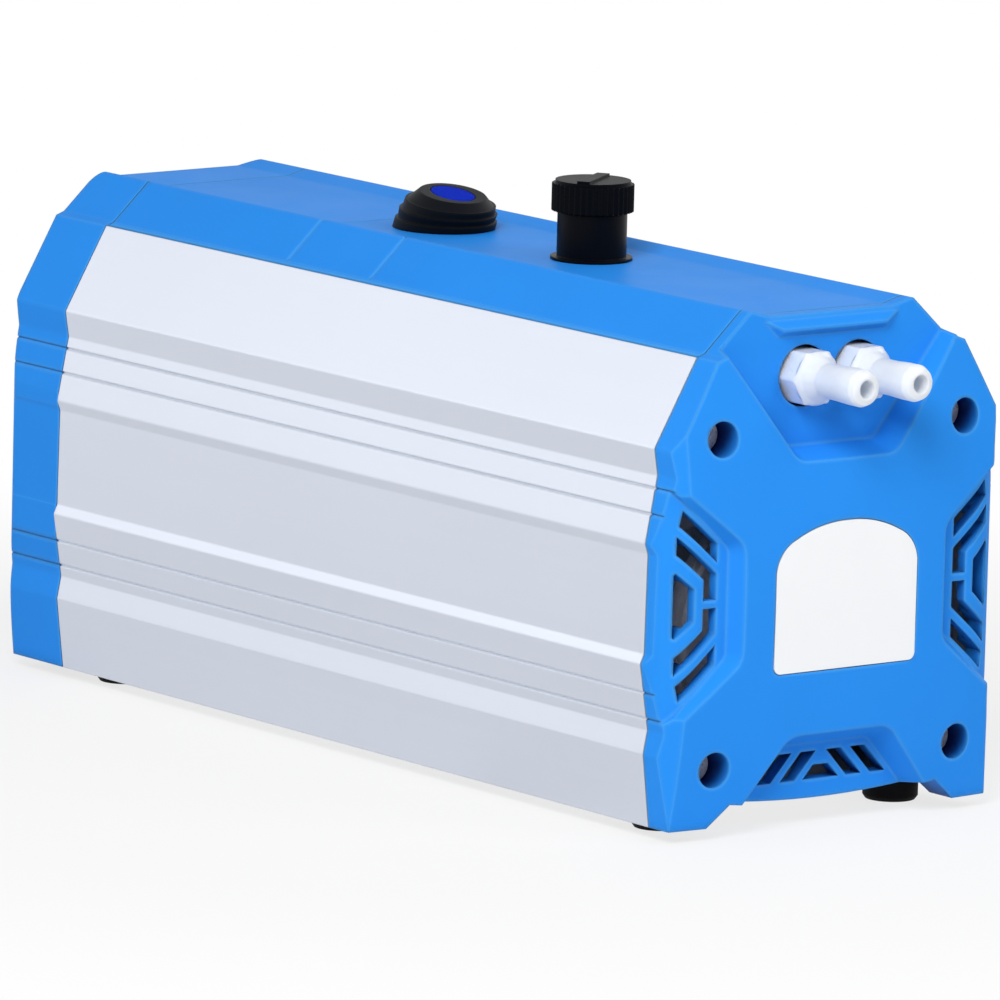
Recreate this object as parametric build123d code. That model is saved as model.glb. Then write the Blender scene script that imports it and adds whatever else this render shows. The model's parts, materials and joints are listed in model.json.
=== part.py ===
from build123d import *
import os
from math import cos, hypot, pi, radians, sin, sqrt

# A one-head laboratory diaphragm vacuum pump.  Millimetres.
# X runs to the right as seen from the front, Y runs from the front cap to the rear cap, Z is up.
# The pieces are modelled with y = 0 at the front end of the aluminium panels and z = 0 at their
# bottom edge, and write_node moves them to the row's origin, the bottom centre of the whole pump.

# ---- Housing cross-section, as steps from the bottom edge up to the roof ridge ----
body_length = 256.0
base_half_width = 51.9
lower_bulge_out = 2.4
lower_bulge_rise = 19.05
lower_valley_in = 1.2
lower_valley_rise = 6.15
waist_foot_lip_out = 2.9
waist_foot_lip_rise = 17.3
waist_foot_in = 1.15
waist_foot_rise = 2.45
waist_head_in = 0.35
waist_head_rise = 25.75
waist_head_lip_out = 1.0
waist_head_lip_rise = 2.55
upper_valley_in = 3.4
upper_valley_rise = 17.35
upper_bulge_out = 1.2
upper_bulge_rise = 7.0
shoulder_in = 12.9
shoulder_rise = 22.3
ledge_in = 2.5
ledge_rise = 0.9
chamfer_in = 11.4
chamfer_rise = 10.4
channel_slope_in = 6.5
channel_depth = 1.7
profile_round = 1.2

# ---- Underside ----
underside_rise = 5.7
underside_half_width = 33.8
underside_slope_in = 6.7

# ---- Panels, cover and caps ----
panel_wall = 2.0
panel_rail_width = 6.0
plastic_wall = 3.0
base_plate_thickness = 2.0
seam_gap = 0.3
fit_gap = 0.2
groove_width = 1.3
groove_depth = 0.55
upper_groove_drop = 3.2
upper_groove_pitch = 6.5
lower_groove_rise = 3.0
lower_groove_pitch = 6.8
rear_line_inset = 78.5
front_line_inset = 115.0

# ---- Front cap ----
crown_depth = 14.0
crown_radius = 540.0
nozzle_floor_depth = 4.2
vent_floor_depth = 8.7
lower_floor_depth = 5.0
vent_corner_width = 12.2
arm_chamfer_depth = 10.0
arm_chamfer_width = 9.1
nozzle_recess_half_width = 14.6
nozzle_recess_foot_drop = 24.3
nozzle_recess_slope = 0.81
vent_recess_inset = 19.2
vent_recess_half_height = 13.9
vent_recess_slope = 0.9
lower_recess_half_width = 14.6
lower_recess_top_rise = 18.2
lower_recess_slope = 0.89
recess_corner_round = 3.5
nozzle_recess_taper = 18.0
vent_recess_taper = 32.0
lower_recess_taper = 27.0
lip_half_width = 17.4
lip_reach = 1.9
lip_height = 5.6
lip_draft = 40.0
chin_drop = 2.0

# ---- Vent slots of the front cap ----
vent_slot_inset = 15.7
vent_slot_width = 4.2
vent_rib = 2.9
vent_outer_rib = 2.7
vent_slot_reach = 12.0
vent_outer_reach = 12.5
vent_mid_slot_height = 6.7
vent_mid_rib = 2.0
vent_end_slot_height = 4.9
vent_slot_slope = 0.86
lower_slot_start = 1.7
lower_slot_width = 4.9
lower_slot_pitch = 7.9
lower_slot_height = 7.3
lower_slot_slant = 6.8
lower_slot_drop = 2.3
lower_slot_middle = 5.9

# ---- Cap screws ----
screw_inset = 12.3
screw_half_height = 42.5
counterbore_radius = 4.65
cap_screw_radius = 2.5
cap_screw_head_radius = 4.25
cap_screw_head_height = 3.0
cap_screw_length = 18.0
cap_screw_socket = 4.0
cap_boss_radius = 6.6
cap_boss_reach = 3.0
channel_boss_radius = 5.2
thread_gap = 0.05

# ---- Label ----
label_half_width = 23.0
label_half_height = 19.1
label_shoulder = 12.0
label_thickness = 0.6
label_depth = 13.5
label_corner = 2.0

# ---- Rear cap ----
rear_cap_depth = 23.0
rear_edge_round = 3.5
inlet_drop = 24.0
rear_slot_width = 3.0
rear_slot_height = 26.0
rear_slot_pitch = 6.0
rear_slot_count = 5
rear_slot_inner = 8.0

# ---- Mains inlet ----
inlet_flange_width = 50.0
inlet_flange_height = 23.0
inlet_flange_thickness = 2.5
inlet_body_width = 27.8
inlet_body_height = 20.0
inlet_body_depth = 20.0
inlet_wall = 1.8
inlet_cavity_depth = 15.0
inlet_screw_spacing = 40.0
inlet_screw_radius = 1.5
inlet_screw_head_height = 1.2
inlet_pin_pitch = 7.0
inlet_pin_offset = 2.0
inlet_pin_thickness = 2.0
inlet_pin_height = 4.0
inlet_pin_length = 21.0

# ---- Feet ----
foot_rail_gap = 0.55
foot_inset = 12.7
foot_rear_inset = 9.1
foot_radius = 7.25
foot_drop = 3.3
foot_taper = 0.7
foot_screw_radius = 2.0
foot_screw_head_radius = 3.6
foot_screw_head_height = 2.0
foot_nut_height = 2.0

# ---- Hose nozzles ----
nozzle_half_spacing = 8.75
nozzle_drop = 6.4
nozzle_hole_radius = 8.0
nozzle_hex_corner_radius = 7.7
nozzle_hex_round = 1.0
nozzle_hex_reach = 9.6
nozzle_cone_length = 4.6
nozzle_waist_radius = 4.55
nozzle_barb_radius = 4.8
nozzle_bore_radius = 2.35
nozzle_tip_reach = 29.9
nozzle_barb_length = 6.0
nozzle_thread_radius = 5.6
nozzle_thread_length = 12.0

# ---- Switch under its rubber dome ----
switch_inset = 96.8
dome_radius = 13.7
dome_height = 9.5
dome_tilt = 10.0
dome_lean = 3.6
dome_tiers = 4
dome_step = 0.7
button_half_width = 5.4
button_half_length = 6.6
button_thickness = 2.0
button_travel = 1.5
button_gap = 0.25
plunger_radius = 2.0
switch_body_radius = 10.5
switch_body_length = 24.0
switch_nut_height = 4.0

# ---- Vacuum regulating valve ----
regulator_inset = 95.6
regulator_stem_radius = 9.15
regulator_stem_height = 12.5
regulator_flange_radius = 10.75
regulator_flange_height = 0.8
regulator_thread_radius = 6.5
regulator_depth = 18.75
regulator_nut_height = 5.0
barb_radius = 2.6
barb_length = 6.0
barb_wall = 1.0
hose_wall = 1.6
knob_radius = 10.8
knob_height = 8.1
knob_rib_count = 40
knob_rib_depth = 0.45
knob_rim_inset = 0.9
knob_bar_width = 3.4
knob_bar_height = 0.6
spindle_radius = 3.0
running_gap = 0.05
rest_gap = 0.3

# ---- Pump drive ----
motor_radius = 35.0
motor_floor_gap = 1.8
crank_inset = 40.0
crankcase_wall = 6.0
crankcase_neck_wall = 4.0
crankcase_half_length = 24.0
head_inset = 7.4
deck_thickness = 7.0
eccentricity = 2.5
shaft_radius = 6.0
shaft_nose_radius = 5.0
rod_bearing_inner_radius = 8.5
rod_bearing_outer_radius = 17.5
rod_bearing_width = 10.0
rod_ring_wall = 4.0
rod_shank_width = 12.0
support_disc_inset = 8.5
support_disc_thickness = 3.0
clamp_disc_thickness = 3.2
clamp_screw_radius = 3.0
diaphragm_thickness = 2.5
diaphragm_inset = 4.0
diaphragm_rim_width = 4.5
chamber_gap = 0.6
head_plate_height = 14.0
head_cover_over_nozzle = 7.2
head_cover_chamfer = 5.0
head_corner_round = 6.0
head_screw_radius = 2.5
head_screw_head_radius = 4.25
head_screw_head_height = 5.0
head_screw_inset = 6.5
port_radius = 3.0
flap_radius = 7.0
flap_thickness = 0.5
counterweight_radius = 25.0
counterweight_thickness = 7.0
counterweight_gap = 2.0

# ---- Motor ----
shield_length = 16.0
shield_wall = 4.0
stator_length = 62.0
stator_bore_radius = 20.0
air_gap = 0.4
winding_inner_radius = 21.0
winding_outer_radius = 29.0
winding_length = 10.0
motor_bearing_outer_radius = 14.0
motor_bearing_width = 9.0
tie_bolt_radius = 1.5
tie_bolt_circle = 31.8
tie_bolt_grip = 8.0
stator_slot_count = 24
fan_gap = 5.0
fan_tip_gap = 2.0
fan_width = 14.0
fan_hub_radius = 11.0
fan_blade_count = 9
fan_blade_thickness = 1.6
buffer_radius = 6.0
buffer_height = 8.0
buffer_channel_gap = 1.4
buffer_stud_radius = 2.5
lug_height = 6.0
lug_half_length = 7.5

# ---- Electrics on the base plate ----
capacitor_radius = 15.0
capacitor_length = 46.0
capacitor_channel_gap = 1.4
capacitor_rear_gap = 8.0
clip_wall = 1.2
clip_width = 10.0
terminal_width = 16.0
terminal_length = 30.0
terminal_height = 14.0


def profile_stations():
    """Corners of the housing's side, (half width, height), from the bottom edge to the ridge."""
    steps = [
        (lower_bulge_out, lower_bulge_rise),
        (-lower_valley_in, lower_valley_rise),
        (waist_foot_lip_out, waist_foot_lip_rise),
        (-waist_foot_in, waist_foot_rise),
        (-waist_head_in, waist_head_rise),
        (waist_head_lip_out, waist_head_lip_rise),
        (-upper_valley_in, upper_valley_rise),
        (upper_bulge_out, upper_bulge_rise),
        (-shoulder_in, shoulder_rise),
        (-ledge_in, ledge_rise),
        (-chamfer_in, chamfer_rise),
    ]
    stations = [(base_half_width, 0.0)]
    for out, rise in steps:
        last_x, last_z = stations[-1]
        stations.append((last_x + out, last_z + rise))
    return stations


stations = profile_stations()
lower_bulge = stations[1]
lower_valley = stations[2]
waist_foot = stations[4]
waist_head = stations[5]
upper_valley = stations[7]
upper_bulge = stations[8]
panel_top = stations[9]
cover_foot = stations[10]
ridge = stations[11]

screw_half_spacing = base_half_width - screw_inset
foot_half_spacing = base_half_width - panel_rail_width - foot_rail_gap - foot_radius
vent_recess_half_width = waist_head[0] - vent_recess_inset
vent_slot_inner = waist_head[0] - vent_slot_inset
channel_half_width = ridge[0] - channel_slope_in
roof_z = ridge[1] - channel_depth
middle_z = (waist_foot[1] + waist_head[1]) / 2
base_top = underside_rise + base_plate_thickness
body_back = body_length + seam_gap + rear_cap_depth
pump_axis_z = base_top + motor_floor_gap + motor_radius
nozzle_z = panel_top[1] - nozzle_drop

# Widths of the pump inside the housing
head_half_width = panel_top[0] - head_inset
diaphragm_radius = head_half_width - diaphragm_inset
chamber_radius = diaphragm_radius - diaphragm_rim_width
support_disc_radius = chamber_radius - support_disc_inset
clamp_disc_radius = support_disc_radius - 1.0
crankcase_bore_radius = motor_radius - crankcase_wall
crankcase_neck_radius = chamber_radius + fit_gap / 2
fan_radius = motor_radius - fan_tip_gap
side_clear_half_width = screw_half_spacing - channel_boss_radius
buffer_half_spacing = side_clear_half_width - buffer_channel_gap - buffer_radius
capacitor_half_spacing = side_clear_half_width - capacitor_channel_gap - capacitor_radius

# Levels of the pump head, worked down from the hose nozzles
head_cover_top = nozzle_z + head_cover_over_nozzle
head_cover_bottom = nozzle_z - nozzle_hex_corner_radius - 2.6
head_plate_bottom = head_cover_bottom - head_plate_height
deck_top = head_plate_bottom
head_front = crank_inset - head_half_width

# Stations of the drive along Y
crankcase_front = crank_inset - crankcase_half_length
crankcase_back = crank_inset + crankcase_half_length
stator_front = crankcase_back + shield_length
stator_back = stator_front + stator_length
motor_back = stator_back + shield_length
fan_front = motor_back + fan_gap
switch_y = body_length - switch_inset
knob_bottom = roof_z + regulator_stem_height + rest_gap
knob_top = knob_bottom + knob_height

rear_end = body_back + inlet_flange_thickness + inlet_screw_head_height
origin_y = (rear_end - nozzle_tip_reach) / 2
origin_lift = foot_drop


def half_width_at(z):
    """Half width of the housing's side at a height."""
    for (x0, z0), (x1, z1) in zip(stations, stations[1:]):
        if z0 <= z <= z1:
            return x0 + (x1 - x0) * (z - z0) / (z1 - z0)
    return stations[0][0]


def closed(points):
    """Closed outline from the points of its right half, mirrored to the left."""
    return Polygon(*points, *[(-x, z) for x, z in reversed(points)], align=None)


def slab(outline, y_from, y_to, taper=0.0):
    """Solid of an X-Z outline between two stations along Y, drafted if a taper is given."""
    return extrude(Plane.XZ.offset(-y_from) * outline, amount=y_from - y_to, dir=(0, -1, 0), taper=taper)


def prism(outline, z_from, z_to):
    """Solid of an X-Y outline between two heights."""
    return extrude(Plane.XY.offset(z_from) * outline, amount=z_to - z_from, dir=(0, 0, 1))


def rod_y(radius, y_from, y_to, x=0.0, z=0.0):
    """Cylinder along Y."""
    return slab(Pos(x, z) * Circle(radius), y_from, y_to)


def rod_z(radius, z_from, z_to, x=0.0, y=0.0):
    """Cylinder along Z."""
    return prism(Pos(x, y) * Circle(radius), z_from, z_to)


def ring_y(outer, inner, y_from, y_to, x=0.0, z=0.0):
    """Ring along Y."""
    return slab(Pos(x, z) * (Circle(outer) - Circle(inner)), y_from, y_to)


def block(x_from, x_to, y_from, y_to, z_from, z_to):
    """Rectangular block between its corners."""
    outline = Pos((x_from + x_to) / 2, (y_from + y_to) / 2) * Rectangle(x_to - x_from, y_to - y_from)
    return prism(outline, z_from, z_to)


def rectangle(x_from, x_to, z_from, z_to):
    """Flat rectangle between its corners."""
    return Pos((x_from + x_to) / 2, (z_from + z_to) / 2) * Rectangle(x_to - x_from, z_to - z_from)


def corner_places(half_x, low_z, high_z):
    """The four corners (x, z) of a pattern."""
    return [(side * half_x, z) for z in (low_z, high_z) for side in (-1, 1)]


def screw_places():
    """Axes (x, z) of the cap screws, the same at both ends."""
    return corner_places(screw_half_spacing, middle_z - screw_half_height, middle_z + screw_half_height)


def foot_places():
    """Axes (x, y) of the four feet."""
    return corner_places(foot_half_spacing, foot_inset, body_length - foot_rear_inset)


# ---- Housing ----


def housing_outline():
    """Outline of the whole housing, shared by the panels, the cover and both caps."""
    half = [
        (0.0, underside_rise),
        (underside_half_width, underside_rise),
        (underside_half_width + underside_slope_in, 0.0),
        *stations,
        (channel_half_width, roof_z),
        (0.0, roof_z),
    ]
    outline = closed(half[1:-1])
    rounded = [
        vertex
        for vertex in outline.vertices()
        if lower_bulge[1] / 2 < vertex.Y < upper_bulge[1] + 1 or vertex.Y > cover_foot[1] + 1
    ]
    return fillet(rounded, profile_round)


def side_grooves(y_from, y_to):
    """V-shaped lines pressed along both sides at four heights."""
    heights = [upper_valley[1] - upper_groove_drop - step * upper_groove_pitch for step in (0, 1)]
    heights += [lower_valley[1] + lower_groove_rise + step * lower_groove_pitch for step in (0, 1)]
    grooves = []
    for z in heights:
        x = half_width_at(z)
        for side in (-1, 1):
            mark = Polygon(
                (side * (x + 1.0), z - groove_width),
                (side * (x + 1.0), z + groove_width),
                (side * (x - groove_depth), z),
                align=None,
            )
            grooves.append(slab(mark, y_from, y_to))
    return grooves


def side_panel(side):
    """Ribbed aluminium extrusion of one side, with its base rail and two screw channels."""
    outline = housing_outline()
    far = 2 * base_half_width
    rail_inner = base_half_width - panel_rail_width
    rail_low = underside_rise - panel_wall
    wall_zone = rectangle(rail_inner, far, -1.0, middle_z) + rectangle(0.0, far, middle_z, panel_top[1])
    section = (outline - offset(outline, -panel_wall)) & wall_zone
    section -= rectangle(0.0, base_half_width - panel_wall, -1.0, rail_low)
    section += rectangle(rail_inner, base_half_width - panel_wall / 2, rail_low, underside_rise)
    places = [(x, z) for x, z in screw_places() if x > 0]
    for x, z in places:
        web = rectangle(x, half_width_at(z) - panel_wall / 2, z - panel_wall / 2, z + panel_wall / 2)
        section += Pos(x, z) * Circle(channel_boss_radius) + web
    for x, z in places:
        section -= Pos(x, z) * Circle(cap_screw_radius + thread_gap)
    panel = slab(section, 0.0, body_length)
    for groove in side_grooves(-1.0, body_length + 1.0):
        panel -= groove
    seat = cap_boss_radius + rest_gap
    for x, z in places:
        panel -= rod_y(seat, -1.0, cap_boss_reach, x, z)
        panel -= rod_y(seat, body_length - cap_boss_reach, body_length + 1.0, x, z)
    return panel if side > 0 else mirror(panel, about=Plane.YZ)


def base_plate():
    """Sheet base that lies on the rails of both panels and carries the pump and the feet."""
    half_width = half_width_at(underside_rise) - panel_wall - rest_gap
    plate = block(-half_width, half_width, fit_gap, body_length - fit_gap, underside_rise, base_top)
    for x, y in foot_places():
        plate -= rod_z(foot_screw_radius + fit_gap, 0.0, 2 * base_top, x, y)
    for x, y in buffer_places():
        plate -= rod_z(buffer_stud_radius + fit_gap, 0.0, 2 * base_top, x, y)
    return plate


def roof_groove(path, y):
    """V-shaped line across the roof along a path of (x, z) corners from left to right."""
    mark = Polygon((-groove_width, 0.6), (groove_width, 0.6), (0.0, -groove_depth), align=None)
    pieces = []
    for (x0, z0), (x1, z1) in zip(path, path[1:]):
        run = hypot(x1 - x0, z1 - z0)
        across = Plane(origin=(x0, y, z0), x_dir=(0, 1, 0), z_dir=(x1 - x0, 0, z1 - z0))
        pieces.append(extrude(across * mark, amount=run, dir=(x1 - x0, 0, z1 - z0)))
    return pieces


def top_cover():
    """Blue roof moulding: two chamfers, two ridges and a shallow channel between them."""
    outline = housing_outline()
    roof_zone = rectangle(-2 * base_half_width, 2 * base_half_width, panel_top[1], 2 * ridge[1])
    section = (outline - offset(outline, -plastic_wall)) & roof_zone
    inside = offset(outline, -panel_wall - fit_gap)
    skirt_zone = rectangle(-2 * base_half_width, 2 * base_half_width, panel_top[1] - 5.0, panel_top[1] + 1.0)
    section += (inside - offset(inside, -panel_wall)) & skirt_zone
    cover = slab(section, 0.0, body_length)
    right = [(channel_half_width, roof_z), ridge, cover_foot]
    left = [(-x, z) for x, z in reversed(right)]
    lines = roof_groove(left + right, body_length - rear_line_inset)
    lines += roof_groove(left[:2], body_length - front_line_inset)
    lines += roof_groove(right[1:], body_length - front_line_inset)
    for line in lines:
        cover -= line
    cover -= rod_z(regulator_thread_radius + fit_gap, panel_top[1], 2 * roof_z, 0.0, regulator_inset)
    cover -= rod_z(switch_body_radius - 2.0, panel_top[1], 2 * roof_z, 0.0, switch_y)
    return cover


# ---- Front cap ----


def recess_outlines():
    """Floor outlines of the nozzle recess, the right vent recess and the lower vent recess."""
    reach = 2 * ridge[1]
    nozzle_foot = panel_top[1] - nozzle_recess_foot_drop
    nozzle = closed([
        (nozzle_recess_half_width, nozzle_foot),
        (nozzle_recess_half_width + nozzle_recess_slope * reach, nozzle_foot + reach),
    ])
    vent = Polygon(
        (vent_recess_half_width, middle_z - vent_recess_half_height),
        (vent_recess_half_width, middle_z + vent_recess_half_height),
        (vent_recess_half_width + reach, middle_z + vent_recess_half_height + vent_recess_slope * reach),
        (vent_recess_half_width + reach, middle_z - vent_recess_half_height - vent_recess_slope * reach),
        align=None,
    )
    lower = closed([
        (lower_recess_half_width + lower_recess_slope * reach, lower_recess_top_rise - reach),
        (lower_recess_half_width, lower_recess_top_rise),
    ])
    return nozzle, vent, lower


def round_corners(outline, radius):
    """Round every corner of a flat outline."""
    return fillet(outline.vertices(), radius)


def recess_pocket(outline, taper, floor_depth):
    """Pocket that opens towards the front from its floor, with drafted walls."""
    return slab(round_corners(outline, recess_corner_round), -floor_depth, -2 * crown_depth, taper=-taper)


def crowned_front():
    """The cap's block: the housing outline and a bowed chin under a domed face with chamfered sides."""
    chin = make_face([
        Line((underside_half_width, underside_rise), (-underside_half_width, underside_rise)),
        ThreePointArc(
            (-underside_half_width, underside_rise), (0, underside_rise - chin_drop),
            (underside_half_width, underside_rise),
        ),
    ])
    front = slab(housing_outline(), -seam_gap, -crown_depth - 1.0) + slab(chin, -seam_gap, -crown_depth - 1.0)
    rim = 2 * base_half_width
    rim_y = crown_radius - crown_depth - sqrt(crown_radius ** 2 - rim ** 2)
    half_rim_y = crown_radius - crown_depth - sqrt(crown_radius ** 2 - rim ** 2 / 4)
    lens = make_face([
        Line((0, 1.0), (0, -crown_depth)),
        ThreePointArc((0, -crown_depth), (rim / 2, half_rim_y), (rim, rim_y)),
        Line((rim, rim_y), (rim, 1.0)),
        Line((rim, 1.0), (0, 1.0)),
    ])
    crown = Pos(0, 0, middle_z) * revolve(lens, Axis.Y)
    widest = max(x for x, _ in stations)
    plan = closed([
        (widest + 1.0, 1.0),
        (widest + 1.0, -crown_depth + arm_chamfer_depth),
        (widest, -crown_depth + arm_chamfer_depth),
        (widest - arm_chamfer_width, -crown_depth),
        (widest - arm_chamfer_width, -crown_depth - 2.0),
    ])
    return front & crown & prism(plan, -1.0, 2 * ridge[1])


def rounded_floor():
    """Level of the side vents: it rolls over into the side walls with an elliptical corner."""
    widest = max(x for x, _ in stations)
    corner = [
        (
            widest - vent_corner_width * (1 - cos(radians(angle))),
            -vent_floor_depth * sin(radians(angle)),
        )
        for angle in (90, 66, 42, 20, 0)
    ]
    plan = make_face([
        Line((0, 0), (0, -vent_floor_depth)),
        Line((0, -vent_floor_depth), corner[0]),
        ThreePointArc(corner[0], corner[1], corner[2]),
        ThreePointArc(corner[2], corner[3], corner[4]),
        Line(corner[4], (0, 0)),
    ])
    right = prism(plan, -1.0, 2 * ridge[1])
    return (right + mirror(right, about=Plane.YZ)) & slab(housing_outline(), 0.0, -2 * crown_depth)


def channel_lip():
    """Rounded trapezoid that carries the roof channel down over the edge of the nozzle recess."""
    depth = nozzle_floor_depth
    side_view = Polygon(
        (-seam_gap, roof_z), (-depth + 1.2, roof_z), (-depth - lip_reach, roof_z - 0.6 * lip_height),
        (-depth - lip_reach, roof_z - 0.72 * lip_height), (-depth + 1.0, roof_z - lip_height - 1.0),
        (-seam_gap, roof_z - lip_height - 1.0),
        align=None,
    )
    lip = extrude(Plane.YZ * side_view, amount=channel_half_width + channel_slope_in, both=True)
    front_view = closed([
        (lip_half_width, roof_z - lip_height),
        (channel_half_width + 0.7 * channel_slope_in, roof_z + 0.8),
    ])
    root = slab(front_view, 0.0, -depth)
    return lip & (root + slab(front_view, -depth, -depth - lip_reach, taper=lip_draft))


def vent_slots():
    """Chevron slots of both side vents, mirrored about the middle height and about the centre."""
    inner = vent_slot_inner
    turn = inner + vent_slot_width
    edge = inner + vent_slot_reach
    low = vent_mid_rib / 2
    knee = low + vent_mid_slot_height
    slope = vent_slot_slope
    bent = Polygon(
        (inner, low), (turn, low), (turn, knee - 1.2), (edge, knee - 1.2 + (edge - turn) * slope),
        (edge, knee + (edge - inner) * slope), (inner, knee),
        align=None,
    )
    end_low = knee + vent_rib
    end_high = end_low + vent_end_slot_height
    slanted = Polygon(
        (inner, end_low), (edge - 0.5, end_low + (edge - 0.5 - inner) * slope),
        (edge - 1.3, end_high + (edge - 1.3 - inner) * slope), (inner, end_high),
        align=None,
    )
    outer = turn + vent_outer_rib
    outer_knee = knee - 1.2 * vent_rib
    outer_end = outer_knee + (edge - outer) * slope
    half_outer = Polygon(
        (outer, 0.0), (outer, outer_knee), (edge, outer_end), (inner + vent_outer_reach, outer_end - 0.6),
        (inner + vent_outer_reach, 0.0),
        align=None,
    )
    quarter = bent + slanted + half_outer
    right = quarter + mirror(quarter, about=Plane.XZ)
    return Pos(0, middle_z) * (right + mirror(right, about=Plane.YZ))


def lower_slots():
    """Slanted slots of the lower vent and the small trapezoid between them."""
    top = lower_recess_top_rise - lower_slot_drop
    bottom = top - lower_slot_height
    waist = bottom + 0.5 * lower_slot_height
    slots = closed([
        (lower_slot_middle, bottom),
        (lower_slot_middle - 0.5 * lower_slot_slant, waist),
    ])
    for number in (0, 1):
        left = lower_slot_start + number * lower_slot_pitch
        slot = Polygon(
            (left, top), (left + lower_slot_width, top),
            (left + lower_slot_width + lower_slot_slant, bottom), (left + lower_slot_slant, bottom),
            align=None,
        )
        slots += slot + mirror(slot, about=Plane.YZ)
    return slots


def front_cap():
    """Front moulding: an X-shaped crowned face between four recesses, hollow behind."""
    nozzle, vent, lower = recess_outlines()
    low_level = rounded_floor()
    cap = crowned_front()
    cap -= recess_pocket(nozzle, nozzle_recess_taper, nozzle_floor_depth)
    cap -= recess_pocket(lower, lower_recess_taper, lower_floor_depth)
    pocket = recess_pocket(vent, vent_recess_taper, vent_floor_depth)
    pocket += slab(round_corners(vent, recess_corner_round), 0.0, -vent_floor_depth) - low_level
    cap -= pocket
    cap -= mirror(pocket, about=Plane.YZ)
    cap += channel_lip()

    # Hollow behind the face, stepped so that every wall keeps its thickness
    outline = housing_outline()
    inside = offset(outline, -plastic_wall)
    shallow = inside
    nozzle_zone = offset(nozzle, plastic_wall)
    lower_zone = offset(lower, plastic_wall)
    cap -= slab(shallow, 0.0, -(nozzle_floor_depth - plastic_wall))
    mid_level = inside - nozzle_zone - lower_zone
    narrow_half = waist_head[0] - plastic_wall - 4.0
    narrow = rectangle(-narrow_half, narrow_half, 0.0, 2 * ridge[1])
    cap -= slab(mid_level & narrow, 0.0, -(vent_floor_depth - plastic_wall))
    centre = rectangle(
        -vent_recess_half_width + 2 * plastic_wall + 1.0, vent_recess_half_width - 2 * plastic_wall - 1.0,
        lower_recess_top_rise + 3 * plastic_wall, panel_top[1] - nozzle_recess_foot_drop - 3 * plastic_wall,
    )
    cap -= slab(centre, 0.0, -(label_depth - label_thickness - plastic_wall))

    # Openings
    cap -= slab(vent_slots(), 0.0, -2 * crown_depth)
    cap -= slab(lower_slots(), 0.0, -2 * crown_depth)
    for x in (-nozzle_half_spacing, nozzle_half_spacing):
        cap -= rod_y(nozzle_hole_radius, 0.0, -2 * crown_depth, x, nozzle_z)
    for x, z in screw_places():
        cap += rod_y(cap_boss_radius, cap_boss_reach, -vent_floor_depth + 1.0, x, z)
        cap -= rod_y(counterbore_radius, 0.0, -2 * crown_depth, x, z)
        cap -= rod_y(cap_screw_radius + fit_gap, cap_boss_reach + 1.0, -1.0, x, z)
    cap -= slab(label_outline(fit_gap), -(label_depth - label_thickness), -2 * crown_depth)
    for groove in side_grooves(1.0, -vent_floor_depth):
        cap -= groove
    return cap


def label_outline(gap):
    """Round-cornered outline with an arched top, grown by a gap."""
    w = label_half_width
    low = middle_z - label_half_height
    high = middle_z + label_half_height
    shoulder = high - label_shoulder
    arch = [
        (w * cos(radians(angle)), shoulder + label_shoulder * sin(radians(angle)))
        for angle in (0, 20, 42, 66, 90, 114, 138, 160, 180)
    ]
    edges = [ThreePointArc(*arch[first:first + 3]) for first in (0, 2, 4, 6)]
    foot = fillet(rectangle(-w, w, low, shoulder).vertices().group_by(Axis.Y)[0], label_corner)
    outline = foot + make_face([*edges, Line(arch[-1], arch[0])])
    if gap > 0:
        outline = offset(outline, gap)
    return outline


def label_plate():
    """Bare white plate let into the face."""
    return slab(label_outline(0.0), -(label_depth - label_thickness), -label_depth)


def cap_screw(x, z, seat_y, direction):
    """Socket-head cap screw whose head rests at seat_y and whose shank runs along direction."""
    head = rod_y(cap_screw_head_radius, seat_y, seat_y - direction * cap_screw_head_height, x, z)
    shank = rod_y(cap_screw_radius, seat_y, seat_y + direction * cap_screw_length, x, z)
    socket = Pos(x, z) * RegularPolygon(cap_screw_socket / 2 / cos(pi / 6), 6)
    top = seat_y - direction * cap_screw_head_height
    return head + shank - slab(socket, top, top + direction * 0.6 * cap_screw_head_height)


def cap_screws(front):
    """The four screws of one cap, as separate solids."""
    screws = []
    for x, z in screw_places():
        if front:
            screws.append(cap_screw(x, z, 0.0, 1))
        else:
            screws.append(cap_screw(x, z, body_length, -1))
    return screws


# ---- Rear cap and mains inlet ----


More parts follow.
